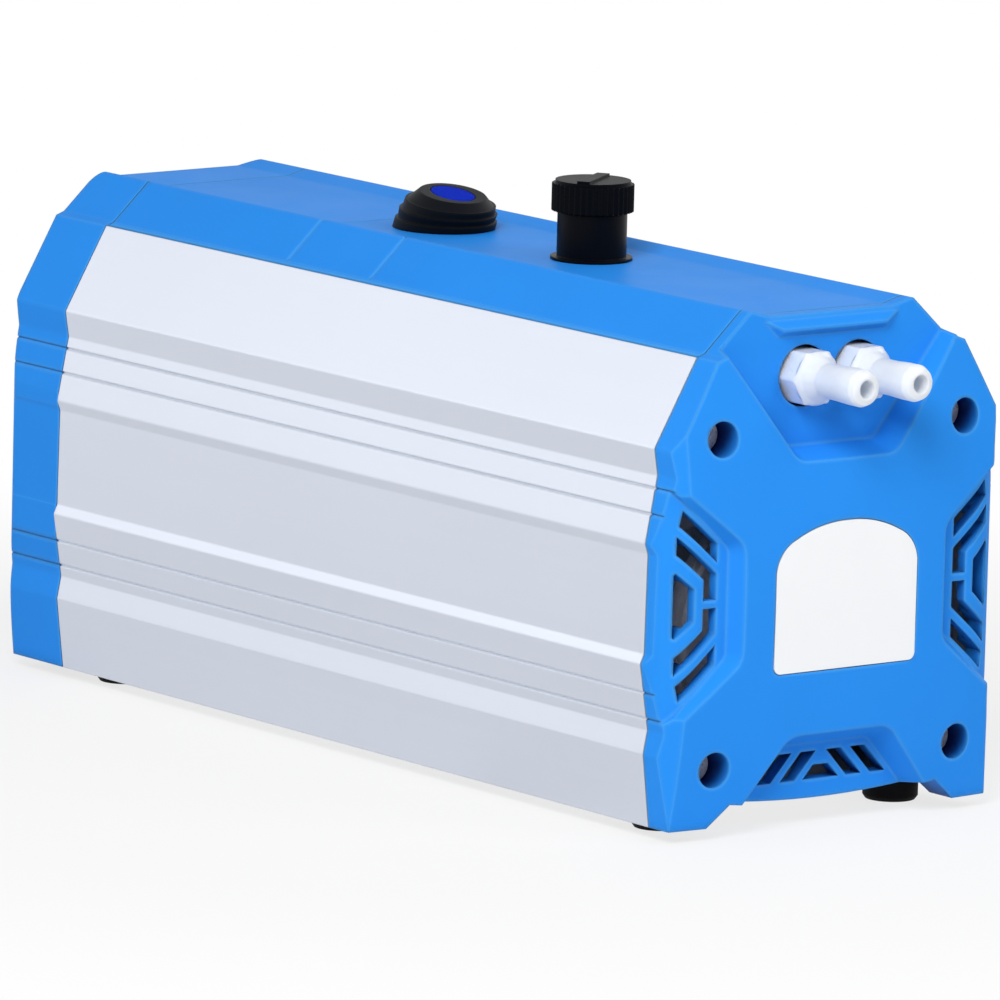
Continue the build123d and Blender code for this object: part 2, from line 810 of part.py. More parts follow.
def rear_cap():
    """Rear moulding: a hollow cap with a flat back, vent slots and the cut-out of the inlet."""
    front_y = body_length + seam_gap
    outline = housing_outline()
    widest = max(x for x, _ in stations) - 1.0
    plan = Pos(0, body_back - body_length) * Rectangle(2 * widest, 2 * body_length)
    plan = fillet(plan.vertices(), rear_edge_round)
    side_view = Pos(body_back - body_length, 0) * Rectangle(2 * body_length, 2 * ridge[1])
    side_view = fillet(side_view.vertices(), rear_edge_round)
    cap = slab(outline, front_y, body_back) & prism(plan, -1.0, 2 * ridge[1])
    cap &= extrude(Plane.YZ * side_view, amount=2 * widest, both=True)
    cap -= slab(offset(outline, -plastic_wall), front_y - 1.0, body_back - plastic_wall)
    for x, z in screw_places():
        cap += rod_y(cap_boss_radius, body_length - cap_boss_reach, body_back - 1.0, x, z)
        cap -= rod_y(counterbore_radius, body_length, body_back + 1.0, x, z)
        cap -= rod_y(cap_screw_radius + fit_gap, body_length - cap_boss_reach - 1.0, body_length + 1.0, x, z)
    for groove in side_grooves(body_length, body_back + 1.0):
        cap -= groove
    inlet = Pos(0, inlet_z()) * Rectangle(inlet_body_width + 2 * fit_gap, inlet_body_height + 2 * fit_gap)
    cap -= slab(inlet, front_y, body_back + 1.0)
    for x in (-inlet_screw_spacing / 2, inlet_screw_spacing / 2):
        cap -= rod_y(inlet_screw_radius + thread_gap, front_y, body_back + 1.0, x, inlet_z())
    for side in (-1, 1):
        for number in range(rear_slot_count):
            x = side * (rear_slot_inner + number * rear_slot_pitch)
            slot = Pos(x, middle_z + rear_slot_height / 2) * SlotOverall(
                rear_slot_height, rear_slot_width, rotation=90)
            cap -= slab(slot, front_y, body_back + 1.0)
    return cap


def inlet_z():
    """Height of the mains inlet."""
    return middle_z - inlet_drop


def mains_inlet():
    """Appliance inlet: flange, body and keyed cavity."""
    z = inlet_z()
    outer = fillet(Rectangle(inlet_flange_width, inlet_flange_height).vertices(), 3.0)
    flange = slab(Pos(0, z) * outer, body_back, body_back + inlet_flange_thickness)
    back = body_back - inlet_body_depth
    body = slab(Pos(0, z) * Rectangle(inlet_body_width, inlet_body_height), back, body_back)
    cavity_width = inlet_body_width - 2 * inlet_wall
    cavity_height = inlet_body_height - 2 * inlet_wall
    cavity = Pos(0, z) * Rectangle(cavity_width, cavity_height)
    upper = [vertex for vertex in cavity.vertices() if vertex.Y > z]
    cavity = chamfer(upper, 0.3 * cavity_height)
    mouth = body_back + inlet_flange_thickness
    inlet = flange + body - slab(cavity, mouth - inlet_cavity_depth, mouth + 1.0)
    for x, pin_z in inlet_pin_places():
        slot = Pos(x, pin_z) * Rectangle(inlet_pin_thickness + 0.02, inlet_pin_height + 0.02)
        inlet -= slab(slot, back - 1.0, mouth)
    for x in (-inlet_screw_spacing / 2, inlet_screw_spacing / 2):
        inlet -= rod_y(inlet_screw_radius + fit_gap, body_back - 1.0, mouth + 1.0, x, z)
    return inlet


def inlet_pin_places():
    """Centres (x, z) of the two live pins and the raised earth pin."""
    z = inlet_z()
    return [
        (-inlet_pin_pitch, z - inlet_pin_offset),
        (0.0, z + inlet_pin_offset),
        (inlet_pin_pitch, z - inlet_pin_offset),
    ]


def inlet_pins():
    """Three flat contact pins."""
    mouth = body_back + inlet_flange_thickness
    tip = mouth - 3.0
    pins = []
    for x, z in inlet_pin_places():
        pin = Pos(x, z) * Rectangle(inlet_pin_thickness, inlet_pin_height)
        pins.append(slab(pin, tip - inlet_pin_length, tip))
    return pins


def inlet_screws():
    """Two small pan-head screws that hold the inlet's flange."""
    mouth = body_back + inlet_flange_thickness
    screws = []
    for x in (-inlet_screw_spacing / 2, inlet_screw_spacing / 2):
        head = rod_y(1.9 * inlet_screw_radius, mouth, mouth + inlet_screw_head_height, x, inlet_z())
        shank = rod_y(inlet_screw_radius, mouth - 8.0, mouth, x, inlet_z())
        screws.append(head + shank)
    return screws


# ---- Feet and buffers ----


def rubber_feet():
    """Four tapered rubber feet, each with a recess for its screw."""
    seat = -foot_drop + 1.0 + foot_screw_head_height
    hole = foot_screw_radius + fit_gap
    head = foot_screw_head_radius + fit_gap
    half = [
        (head, -foot_drop), (foot_radius - foot_taper, -foot_drop), (foot_radius, -foot_drop + 1.0),
        (foot_radius, underside_rise), (hole, underside_rise), (hole, seat), (head, seat),
    ]
    foot = revolve(Plane.XZ * Polygon(*half, align=None), Axis.Z)
    return [Pos(x, y, 0) * foot for x, y in foot_places()]


def foot_screws():
    """Screws that hold the feet, head up inside each foot's recess, with their nuts."""
    seat = -foot_drop + 1.0 + foot_screw_head_height
    screws = []
    for x, y in foot_places():
        head = rod_z(foot_screw_head_radius, seat - foot_screw_head_height, seat, x, y)
        shank = rod_z(foot_screw_radius, seat, base_top + foot_nut_height, x, y)
        screws.append(head + shank)
    return screws


def foot_nuts():
    """Hexagon nuts on the base plate."""
    nuts = []
    for x, y in foot_places():
        outline = RegularPolygon(2 * foot_screw_radius, 6) - Circle(foot_screw_radius + thread_gap)
        nuts.append(prism(Pos(x, y) * outline, base_top, base_top + foot_nut_height))
    return nuts


def buffer_places():
    """Axes (x, y) of the rubber buffers under the crankcase and the rear motor shield."""
    return corner_places(buffer_half_spacing, crank_inset, motor_back - shield_length / 2)


def rubber_buffers():
    """Four vibration mounts between the base plate and the lugs of the pump."""
    buffers = []
    for x, y in buffer_places():
        buffer = rod_z(buffer_radius, base_top, base_top + buffer_height, x, y)
        buffers.append(buffer - rod_z(buffer_stud_radius + thread_gap, 0.0, 2 * ridge[1], x, y))
    return buffers


def buffer_bolts():
    """Bolts from below through base plate and buffer into the lugs."""
    lug_top = base_top + buffer_height + lug_height
    bolts = []
    for x, y in buffer_places():
        head = rod_z(1.7 * buffer_stud_radius, underside_rise - 1.5, underside_rise, x, y)
        shank = rod_z(buffer_stud_radius, underside_rise, lug_top - 1.0, x, y)
        bolts.append(head + shank)
    return bolts


def lug_holes(y):
    """Blind holes for the buffer bolts in a pair of lugs."""
    top = base_top + buffer_height + lug_height - 1.0
    return [
        rod_z(buffer_stud_radius + thread_gap, 0.0, top, side * buffer_half_spacing, y)
        for side in (-1, 1)
    ]


def mounting_lugs(y):
    """Pair of lugs beside a round housing that stand on the buffers."""
    low = base_top + buffer_height
    chord = sqrt(motor_radius ** 2 - (pump_axis_z - low - lug_height / 2) ** 2)
    lugs = None
    for side in (-1, 1):
        inner = side * (chord - 6.0)
        outer = side * (buffer_half_spacing + buffer_radius)
        lug = block(min(inner, outer), max(inner, outer), y - lug_half_length, y + lug_half_length,
                    low, low + lug_height)
        lugs = lug if lugs is None else lugs + lug
    return lugs


# ---- Hose nozzles ----


def hose_nozzle(x):
    """Moulded hose nozzle: threaded end, hexagon, cone, waisted tube and rounded barb."""
    hexagon = Pos(x, nozzle_z) * round_corners(RegularPolygon(nozzle_hex_corner_radius, 6), nozzle_hex_round)
    body = slab(hexagon, head_front, -nozzle_hex_reach)
    thread = rod_y(nozzle_thread_radius, head_front, head_front + nozzle_thread_length, x, nozzle_z)
    root = 0.93 * nozzle_hex_corner_radius
    cone_from = nozzle_hex_reach
    cone_to = cone_from + nozzle_cone_length
    barb_from = nozzle_tip_reach - nozzle_barb_length
    tip_round = nozzle_barb_radius - 1.2 * nozzle_bore_radius
    half = [
        (0, cone_from), (root, cone_from),
        ((root + nozzle_waist_radius) / 2, cone_from + 0.3 * nozzle_cone_length),
        (nozzle_waist_radius, cone_to),
        (nozzle_waist_radius, barb_from - 0.8 * nozzle_barb_length), (nozzle_barb_radius, barb_from),
        (nozzle_barb_radius, nozzle_tip_reach - tip_round),
        (nozzle_barb_radius - 0.3 * tip_round, nozzle_tip_reach - 0.3 * tip_round),
        (nozzle_barb_radius - tip_round, nozzle_tip_reach), (0, nozzle_tip_reach),
    ]
    tube = revolve(Polygon(*half, align=None), Axis.Y)
    tube = Pos(x, 0, nozzle_z) * Rot(0, 0, 180) * tube
    nozzle = body + thread + tube
    bore_end = head_front + nozzle_thread_length + 1.0
    return nozzle - rod_y(nozzle_bore_radius, -nozzle_tip_reach - 1.0, bore_end, x, nozzle_z)


# ---- Switch ----


def dome_plane(height, lean):
    """Plane across the dome: it tilts towards the front as it rises."""
    share = height / dome_height
    return Plane(
        origin=(0, switch_y - lean * share, roof_z + height),
        x_dir=(1, 0, 0),
        z_dir=(0, -sin(radians(dome_tilt * share)), cos(radians(dome_tilt * share))),
    )


def button_plane():
    """Tilted plane of the dome's top."""
    return dome_plane(dome_height, dome_lean)


def switch_boot():
    """Rubber dome in stepped tiers that lean to the front, with an oval well for the button."""
    tier_height = dome_height / dome_tiers
    top_radius = button_half_length + 2.4
    boot = None
    for tier in range(dome_tiers):
        low = tier * tier_height
        high = (tier + 1) * tier_height
        low_radius = tier_radius(low, top_radius) - (dome_step if tier else 0.0)
        high_radius = tier_radius(high, top_radius)
        section = loft([
            (dome_plane(low, dome_lean) * Circle(low_radius)).face(),
            (dome_plane(high, dome_lean) * Circle(high_radius)).face(),
        ])
        boot = section if boot is None else boot + section
    top = button_plane()
    well = Ellipse(button_half_width + button_gap, button_half_length + button_gap)
    boot -= extrude(top * well, amount=-(button_thickness + button_travel + 1.0))
    boot -= extrude(top * well, amount=5.0)
    boot -= extrude(top * Circle(plunger_radius + button_gap), amount=-3 * dome_height)
    return boot & block(-2 * dome_radius, 2 * dome_radius, 0.0, body_length, roof_z, 2 * roof_z)


def tier_radius(height, top_radius):
    """Radius of the dome at a height, along a quarter of an ellipse."""
    share = height / dome_height
    return top_radius + (dome_radius - top_radius) * sqrt(1 - share ** 2)


def switch_button():
    """Blue oval button with its plunger."""
    top = button_plane()
    button = extrude(top * Ellipse(button_half_width, button_half_length), amount=-button_thickness)
    button += extrude(top * Circle(plunger_radius), amount=-(dome_height + 2.0))
    return button


def switch_body():
    """Switch block under the roof, its neck through the cover and its well for the plunger."""
    neck = rod_z(switch_body_radius - 2.0 - fit_gap, roof_z - plastic_wall - switch_nut_height, roof_z,
                 0.0, switch_y)
    low = roof_z - plastic_wall - switch_nut_height - switch_body_length
    body = rod_z(switch_body_radius, low, roof_z - plastic_wall - switch_nut_height, 0.0, switch_y)
    switch = neck + body
    well = extrude(button_plane() * Circle(plunger_radius + 2 * button_gap), amount=-(dome_height + 5.0))
    for x in (-4.0, 4.0):
        switch += block(x - 1.5, x + 1.5, switch_y - 0.4, switch_y + 0.4, low - 6.0, low)
    return switch - well


def switch_nut():
    """Ring nut that clamps the switch under the cover."""
    top = roof_z - plastic_wall
    outline = RegularPolygon(switch_body_radius + 2.0, 6) - Circle(switch_body_radius - 2.0)
    return prism(Pos(0, switch_y) * outline, top - switch_nut_height + rest_gap, top)


# ---- Vacuum regulating valve ----


def regulator_body():
    """Valve body: flange and stem above the cover, threaded part and hose barb below it."""
    y = regulator_inset
    low = roof_z - regulator_depth
    body = rod_z(regulator_flange_radius, roof_z, roof_z + regulator_flange_height, 0.0, y)
    body += rod_z(regulator_stem_radius, roof_z, roof_z + regulator_stem_height, 0.0, y)
    body += rod_z(regulator_thread_radius, low, roof_z, 0.0, y)
    body += rod_y(barb_radius, y - regulator_thread_radius - barb_length, y, 0.0, nozzle_z)
    body -= rod_z(spindle_radius + running_gap, low + 3.0, 2 * roof_z, 0.0, y)
    body -= rod_y(barb_radius - barb_wall, 0.0, y, 0.0, nozzle_z)
    return body


def regulator_nut():
    """Hexagon nut that clamps the valve under the cover."""
    top = roof_z - plastic_wall
    outline = RegularPolygon(regulator_thread_radius + 4.0, 6) - Circle(regulator_thread_radius + thread_gap)
    return prism(Pos(0, regulator_inset) * outline, top - regulator_nut_height, top)


def regulator_knob():
    """Ribbed knob cap with a bevelled rim and a raised bar."""
    points = []
    for number in range(2 * knob_rib_count):
        radius = knob_radius if number % 2 == 0 else knob_radius - knob_rib_depth
        angle = pi * number / knob_rib_count
        points.append((radius * cos(angle), radius * sin(angle)))
    ribbed = Pos(0, regulator_inset) * Polygon(*points, align=None)
    knob = prism(ribbed, knob_bottom, knob_top - knob_rim_inset)
    knob += rod_z(knob_radius - knob_rim_inset, knob_bottom, knob_top, 0.0, regulator_inset)
    bar = Rectangle(2 * (knob_radius - 2 * knob_rim_inset), knob_bar_width, rotation=35)
    knob += prism(Pos(0, regulator_inset) * bar, knob_top, knob_top + knob_bar_height)
    knob -= rod_z(spindle_radius, knob_bottom - 1.0, knob_top - 3.0, 0.0, regulator_inset)
    return knob


def regulator_spindle():
    """Spindle that the knob turns in the valve body."""
    low = roof_z - regulator_depth + 3.0 + rest_gap
    return rod_z(spindle_radius, low, knob_top - 3.0, 0.0, regulator_inset)


def regulator_hose():
    """Short hose from the valve's barb to the barb at the back of the pump head."""
    front = crank_inset + head_half_width + rest_gap
    back = regulator_inset - regulator_thread_radius - rest_gap
    return ring_y(barb_radius + hose_wall, barb_radius + thread_gap, front, back, 0.0, nozzle_z)


# ---- Pump head ----


def head_square(half_width):
    """Round-cornered square outline of the head, centred over the crank."""
    square = fillet(Rectangle(2 * half_width, 2 * half_width).vertices(), head_corner_round)
    return Pos(0, crank_inset) * square


def head_screw_places():
    """Axes (x, y) of the four head screws."""
    half = head_half_width - head_screw_inset
    return [(x, crank_inset + y) for x in (-half, half) for y in (-half, half)]


def head_cover():
    """Upper block of the head, with the threaded ports for the nozzles and the valve."""
    cover = prism(head_square(head_half_width), head_cover_bottom, head_cover_top)
    long_edges = cover.faces().sort_by(Axis.Z)[-1].edges().filter_by(Axis.Y)
    cover = chamfer(long_edges, head_cover_chamfer)
    for x in (-nozzle_half_spacing, nozzle_half_spacing):
        deep = head_front + nozzle_thread_length + 3.0
        cover -= rod_y(nozzle_thread_radius + thread_gap, head_front - 1.0, deep, x, nozzle_z)
        cover -= rod_z(port_radius, head_cover_bottom - 1.0, nozzle_z, x, deep - port_radius)
    barb_y = crank_inset + head_half_width
    cover += rod_y(barb_radius, barb_y, barb_y + barb_length, 0.0, nozzle_z)
    cover -= rod_y(barb_radius - barb_wall, barb_y - 12.0, barb_y + body_length, 0.0, nozzle_z)
    for x, y in head_screw_places():
        seat = head_cover_top - head_screw_head_height
        cover -= rod_z(head_screw_head_radius + fit_gap, seat, ridge[1], x, y)
        cover -= rod_z(head_screw_radius + fit_gap, head_cover_bottom - 1.0, ridge[1], x, y)
    return cover


def head_plate():
    """Lower plate of the head: the pumping chamber below and the two valve seats on top."""
    plate = prism(head_square(head_half_width), head_plate_bottom, head_cover_bottom - flap_thickness)
    roof = clamp_disc_top() + 2 * eccentricity + chamber_gap
    rim_top = head_plate_bottom + diaphragm_thickness
    plate -= rod_z(diaphragm_radius + fit_gap, head_plate_bottom - 1.0, rim_top, 0.0, crank_inset)
    bottom = Plane.XY.offset(rim_top) * (Pos(0, crank_inset) * Circle(chamber_radius))
    top = Plane.XY.offset(roof) * (Pos(0, crank_inset) * Circle(clamp_disc_radius + 2 * eccentricity))
    plate -= loft([bottom.face(), top.face()])
    for x in (-nozzle_half_spacing, nozzle_half_spacing):
        plate -= rod_z(port_radius, roof - 1.0, head_cover_bottom, x, crank_inset)
    for x, y in head_screw_places():
        plate -= rod_z(head_screw_radius + fit_gap, 0.0, ridge[1], x, y)
    return plate


def valve_sheet():
    """Thin elastomer sheet between plate and cover, with the two flap valves cut in it."""
    sheet = head_square(head_half_width)
    for x in (-nozzle_half_spacing, nozzle_half_spacing):
        gap = Circle(flap_radius) - Circle(flap_radius - 1.0)
        gap -= Pos(0, -flap_radius) * Rectangle(0.8 * flap_radius, flap_radius)
        sheet -= Pos(x, crank_inset) * gap
    for x, y in head_screw_places():
        sheet -= Pos(x, y) * Circle(head_screw_radius + fit_gap)
    return prism(sheet, head_cover_bottom - flap_thickness, head_cover_bottom)


def head_screws():
    """Four socket-head screws down through the head into the crankcase."""
    screws = []
    for x, y in head_screw_places():
        seat = head_cover_top - head_screw_head_height
        head = rod_z(head_screw_head_radius, seat, head_cover_top - 0.4, x, y)
        shank = rod_z(head_screw_radius, deck_top - deck_thickness + 1.0, seat, x, y)
        screws.append(head + shank)
    return screws


def diaphragm_dip():
    """How far the middle of the diaphragm hangs below its clamped rim at the bottom of the stroke."""
    return eccentricity


def clamp_disc_top():
    """Top of the clamping disc at the bottom of the stroke."""
    return deck_top + diaphragm_thickness - diaphragm_dip() + clamp_disc_thickness


def diaphragm():
    """Clamped rim, flexing cone and flat middle, drawn down to the bottom of the stroke."""
    t = diaphragm_thickness
    high = deck_top
    low = deck_top - diaphragm_dip()
    half = [
        (clamp_screw_radius + fit_gap, low), (clamp_disc_radius + 1.0, low), (chamber_radius - 1.0, high),
        (diaphragm_radius, high), (diaphragm_radius, high + t), (chamber_radius - 1.0, high + t),
        (clamp_disc_radius + 1.0, low + t), (clamp_screw_radius + fit_gap, low + t),
    ]
    section = Plane.XZ * Polygon(*half, align=None)
    return Pos(0, crank_inset, 0) * revolve(section, Axis.Z)


def clamp_disc():
    """Domed disc that clamps the middle of the diaphragm from above."""
    low = deck_top + diaphragm_thickness - diaphragm_dip()
    disc = rod_z(clamp_disc_radius, low, low + clamp_disc_thickness, 0.0, crank_inset)
    disc = chamfer(disc.faces().sort_by(Axis.Z)[-1].edges(), 1.2)
    return disc - rod_z(clamp_screw_radius + fit_gap, low - 1.0, low + 10.0, 0.0, crank_inset)


def clamp_screw():
    """Countersunk screw through clamping disc, diaphragm and connecting rod."""
    top = clamp_disc_top()
    shank = rod_z(clamp_screw_radius, top - 12.0, top - 0.2, 0.0, crank_inset)
    return shank


def connecting_rod():
    """One-piece rod: bearing ring, tapered shank and support disc under the diaphragm."""
    centre = pump_axis_z - eccentricity
    half = rod_bearing_width / 2
    outer = rod_bearing_outer_radius + rod_ring_wall
    disc_top = deck_top - diaphragm_dip()
    disc_low = disc_top - support_disc_thickness
    ring = rod_y(outer, crank_inset - half, crank_inset + half, 0.0, centre)
    shank = closed([
        (0.75 * rod_shank_width, centre + rod_bearing_outer_radius),
        (0.5 * rod_shank_width, disc_low + 0.5),
    ])
    rod = ring + slab(shank, crank_inset - half, crank_inset + half)
    rod += rod_z(support_disc_radius, disc_low, disc_top, 0.0, crank_inset)
    rod -= rod_y(rod_bearing_outer_radius, 0.0, body_length, 0.0, centre)
    rod -= rod_z(clamp_screw_radius, clamp_disc_top() - 12.0, ridge[1], 0.0, crank_inset)
    return rod


# ---- Crank drive ----


def crankcase():
    """Cast crankcase: round drum across the shaft, neck and deck under the head, two lugs."""
    y0 = crankcase_front
    y1 = crankcase_back
    outer = crankcase_bore_radius + crankcase_wall
    case = rod_y(outer, y0, y1, 0.0, pump_axis_z)
    neck = rod_z(crankcase_neck_radius + crankcase_neck_wall, pump_axis_z, deck_top, 0.0, crank_inset)
    case += neck & block(-outer, outer, y0, y1, 0.0, ridge[1])
    case += prism(head_square(head_half_width), deck_top - deck_thickness, deck_top)
    case += mounting_lugs(crank_inset)
    case -= rod_y(crankcase_bore_radius, y0 + crankcase_wall, y1 + 1.0, 0.0, pump_axis_z)
    case -= rod_y(0.8 * crankcase_bore_radius, y0 - 1.0, y1, 0.0, pump_axis_z)
    case -= rod_z(crankcase_neck_radius, pump_axis_z, ridge[1], 0.0, crank_inset)
    for x, y in head_screw_places():
        case -= rod_z(head_screw_radius + thread_gap, deck_top - deck_thickness, ridge[1], x, y)
    for x, z in tie_bolt_places():
        case -= rod_y(tie_bolt_radius + thread_gap, y1 - tie_bolt_grip, y1 + 1.0, x, z)
    for hole in lug_holes(crank_inset):
        case -= hole
    return case


def crankcase_cover():
    """Round cover plate on the front of the crankcase, with a raised boss."""
    radius = crankcase_bore_radius + 0.5 * crankcase_wall
    cover = rod_y(radius, crankcase_front - 3.0, crankcase_front, 0.0, pump_axis_z)
    cover = chamfer(cover.faces().sort_by(Axis.Y)[0].edges(), 1.0)
    cover += rod_y(0.45 * radius, crankcase_front - 5.0, crankcase_front - 2.0, 0.0, pump_axis_z)
    cover += rod_y(0.8 * crankcase_bore_radius - fit_gap, crankcase_front - 1.0, crankcase_front + 3.0,
                   0.0, pump_axis_z)
    return cover


def eccentric():
    """Eccentric bush on the shaft's nose with its counterweight."""
    half = rod_bearing_width / 2
    low = pump_axis_z - eccentricity
    bush = rod_y(rod_bearing_inner_radius, crank_inset - half - 1.0, crank_inset + half + counterweight_gap,
                 0.0, low)
    weight_from = crank_inset + half + counterweight_gap
    weight_to = weight_from + counterweight_thickness
    weight = rod_y(counterweight_radius, weight_from, weight_to, 0.0, pump_axis_z)
    upper_half = rectangle(-counterweight_radius, counterweight_radius, pump_axis_z - 2.0,
                           pump_axis_z + counterweight_radius)
    weight &= slab(upper_half, 0.0, body_length)
    hub = rod_y(rod_bearing_inner_radius + 2.0, weight_from, weight_to, 0.0, pump_axis_z)
    return bush + weight + hub - rod_y(shaft_nose_radius, 0.0, body_length, 0.0, pump_axis_z)


def bearing_rings(inner_side, y_from, y_to, inner_radius, outer_radius, z):
    """Inner or outer half of a sealed ball bearing; they run with a small gap between them."""
    middle = (inner_radius + outer_radius) / 2
    if inner_side:
        return ring_y(middle - running_gap / 2, inner_radius, y_from, y_to, 0.0, z)
    return ring_y(outer_radius, middle + running_gap / 2, y_from, y_to, 0.0, z)


def rod_bearing(inner_side):
    """Half of the rod's bearing on the eccentric."""
    half = rod_bearing_width / 2
    return bearing_rings(inner_side, crank_inset - half, crank_inset + half, rod_bearing_inner_radius,
                         rod_bearing_outer_radius, pump_axis_z - eccentricity)


def motor_bearing_spans():
    """Stations (from, to) of the two motor bearings."""
    front = crankcase_back + 1.0
    back = motor_back - shield_wall
    return [(front, front + motor_bearing_width), (back - motor_bearing_width, back)]


def motor_bearings(inner_side):
    """Inner or outer rings of both motor bearings."""
    return [
        bearing_rings(inner_side, y_from, y_to, shaft_radius, motor_bearing_outer_radius, pump_axis_z)
        for y_from, y_to in motor_bearing_spans()
    ]


def motor_shield(front):
    """Bell-shaped end shield that centres one bearing and covers one end of the windings."""
    if front:
        y_closed, y_open = crankcase_back, stator_front
    else:
        y_closed, y_open = motor_back, stator_back
    inward = 1 if y_open > y_closed else -1
    shield = rod_y(motor_radius, y_closed, y_open, 0.0, pump_axis_z)
    hollow = motor_radius - shield_wall
    shield -= rod_y(hollow, y_closed + inward * shield_wall, y_open + inward, 0.0, pump_axis_z)
    y_from, y_to = motor_bearing_spans()[0 if front else 1]
    shield += rod_y(motor_bearing_outer_radius + 2.5, y_closed, y_to if front else y_from, 0.0, pump_axis_z)
    shield -= rod_y(motor_bearing_outer_radius, y_from, y_to, 0.0, pump_axis_z)
    shield -= rod_y(shaft_radius + 1.5, 0.0, body_length, 0.0, pump_axis_z)
    if front:
        shield -= rod_y(motor_bearing_outer_radius, y_from, y_open, 0.0, pump_axis_z)
    else:
        shield -= rod_y(motor_bearing_outer_radius, y_open, y_to, 0.0, pump_axis_z)
        lugs = mounting_lugs(motor_back - shield_length / 2)
        shield += lugs - rod_y(hollow, 0.0, body_length, 0.0, pump_axis_z)
        for hole in lug_holes(motor_back - shield_length / 2):
            shield -= hole
    for x, z in tie_bolt_places():
        shield -= rod_y(tie_bolt_radius + fit_gap, 0.0, body_length, x, z)
    return shield


def tie_bolt_places():
    """Axes (x, z) of the four bolts that clamp the motor together."""
    reach = tie_bolt_circle * sqrt(0.5)
    return corner_places(reach, pump_axis_z - reach, pump_axis_z + reach)


def tie_bolts():
    """Four long bolts through both shields and the stator."""
    return [
        rod_y(tie_bolt_radius, crankcase_back - tie_bolt_grip, motor_back, x, z)
        + rod_y(1.7 * tie_bolt_radius, motor_back, motor_back + 2.5, x, z)
        for x, z in tie_bolt_places()
    ]


def motor_stator():
    """Laminated stator stack with shallow cooling grooves along its outside."""
    section = Circle(motor_radius) - Circle(stator_bore_radius)
    for number in range(stator_slot_count):
        angle = 360.0 * (number + 0.5) / stator_slot_count
        section -= Rot(0, 0, angle) * Pos(motor_radius, 0) * Rectangle(2.0, 3.0)
    section = Pos(0, pump_axis_z) * section
    for x, z in tie_bolt_places():
        section -= Pos(x, z) * Circle(tie_bolt_radius + fit_gap)
    return slab(section, stator_front, stator_back)


def motor_windings():
    """End turns of the windings, a rounded ring at each end of the stack."""
    rings = []
    for y_from in (stator_front - winding_length, stator_back):
        y_to = y_from + winding_length
        ring = ring_y(winding_outer_radius, winding_inner_radius, y_from, y_to, 0.0, pump_axis_z)
        rings.append(ring)
    return rings


def motor_rotor():
    """Rotor stack with its end rings."""
    rotor = rod_y(stator_bore_radius - air_gap, stator_front, stator_back, 0.0, pump_axis_z)
    rotor += rod_y(stator_bore_radius - 3.0, stator_front - 3.0, stator_back + 3.0, 0.0, pump_axis_z)
    return rotor - rod_y(shaft_radius, 0.0, body_length, 0.0, pump_axis_z)


def motor_shaft():
    """Stepped shaft from the eccentric to the fan."""
    nose = crank_inset - rod_bearing_width / 2 - 1.0
    shaft = rod_y(shaft_nose_radius, nose, crankcase_back, 0.0, pump_axis_z)
    return shaft + rod_y(shaft_radius, crankcase_back, fan_front + fan_width, 0.0, pump_axis_z)


def cooling_fan():
    """Radial-bladed cooling fan on the rear end of the shaft."""
    fan = rod_y(fan_hub_radius, fan_front, fan_front + fan_width, 0.0, pump_axis_z)
    fan += rod_y(0.75 * fan_radius, fan_front, fan_front + fan_blade_thickness, 0.0, pump_axis_z)
    blade = rectangle(0.5 * fan_hub_radius, fan_radius, -fan_blade_thickness / 2, fan_blade_thickness / 2)
    blades = Sketch() + [Rot(0, 0, 360.0 * n / fan_blade_count) * blade for n in range(fan_blade_count)]
    fan += slab(Pos(0, pump_axis_z) * blades, fan_front, fan_front + fan_width)
    return fan - rod_y(shaft_radius, 0.0, body_length, 0.0, pump_axis_z)


# ---- Electrics ----


def capacitor_axis():
    """Axis (x, z) of the motor capacitor, lying on the base plate."""
    return -capacitor_half_spacing, base_top + clip_wall + capacitor_radius


def capacitor_span():
    """Stations of the capacitor along Y."""
    back = body_length - capacitor_rear_gap
    return back - capacitor_length, back


def motor_capacitor():
    """Round motor capacitor with two spade terminals."""
    x, z = capacitor_axis()
    y_from, y_to = capacitor_span()
    can = rod_y(capacitor_radius, y_from, y_to, x, z)
    can = chamfer(can.faces().sort_by(Axis.Y)[-1].edges(), 1.5)
    for side in (-4.0, 4.0):
        can += block(x + side - 0.4, x + side + 0.4, y_from - 5.0, y_from, z - 3.0, z + 3.0)
    return can


def capacitor_clip():
    """Sheet clip around the capacitor."""
    x, z = capacitor_axis()
    y_from, y_to = capacitor_span()
    middle = (y_from + y_to) / 2
    outer = Pos(x, z) * Circle(capacitor_radius + clip_wall)
    foot = rectangle(x - capacitor_radius - 3.0, x + capacitor_radius + 3.0, base_top, base_top + clip_wall)
    opening = rectangle(x - 0.55 * capacitor_radius, x + 0.55 * capacitor_radius, z, z + 2 * capacitor_radius)
    section = outer + foot - Pos(x, z) * Circle(capacitor_radius) - opening
    return slab(section, middle - clip_width / 2, middle + clip_width / 2)


def terminal_block():
    """Terminal block on the base plate, with a row of wire openings."""
    x = capacitor_half_spacing
    y_from, y_to = capacitor_span()
    middle = (y_from + y_to) / 2
    block_body = block(x - terminal_width / 2, x + terminal_width / 2, middle - terminal_length / 2,
                       middle + terminal_length / 2, base_top, base_top + terminal_height)
    for number in range(3):
        y = middle + (number - 1) * terminal_length / 3
        hole = block(x - terminal_width, x + terminal_width, y - 2.0, y + 2.0, base_top + 4.0, base_top + 8.0)
        block_body -= hole
        block_body -= rod_z(2.2, base_top + terminal_height - 3.0, ridge[1], x, y)
    return block_body


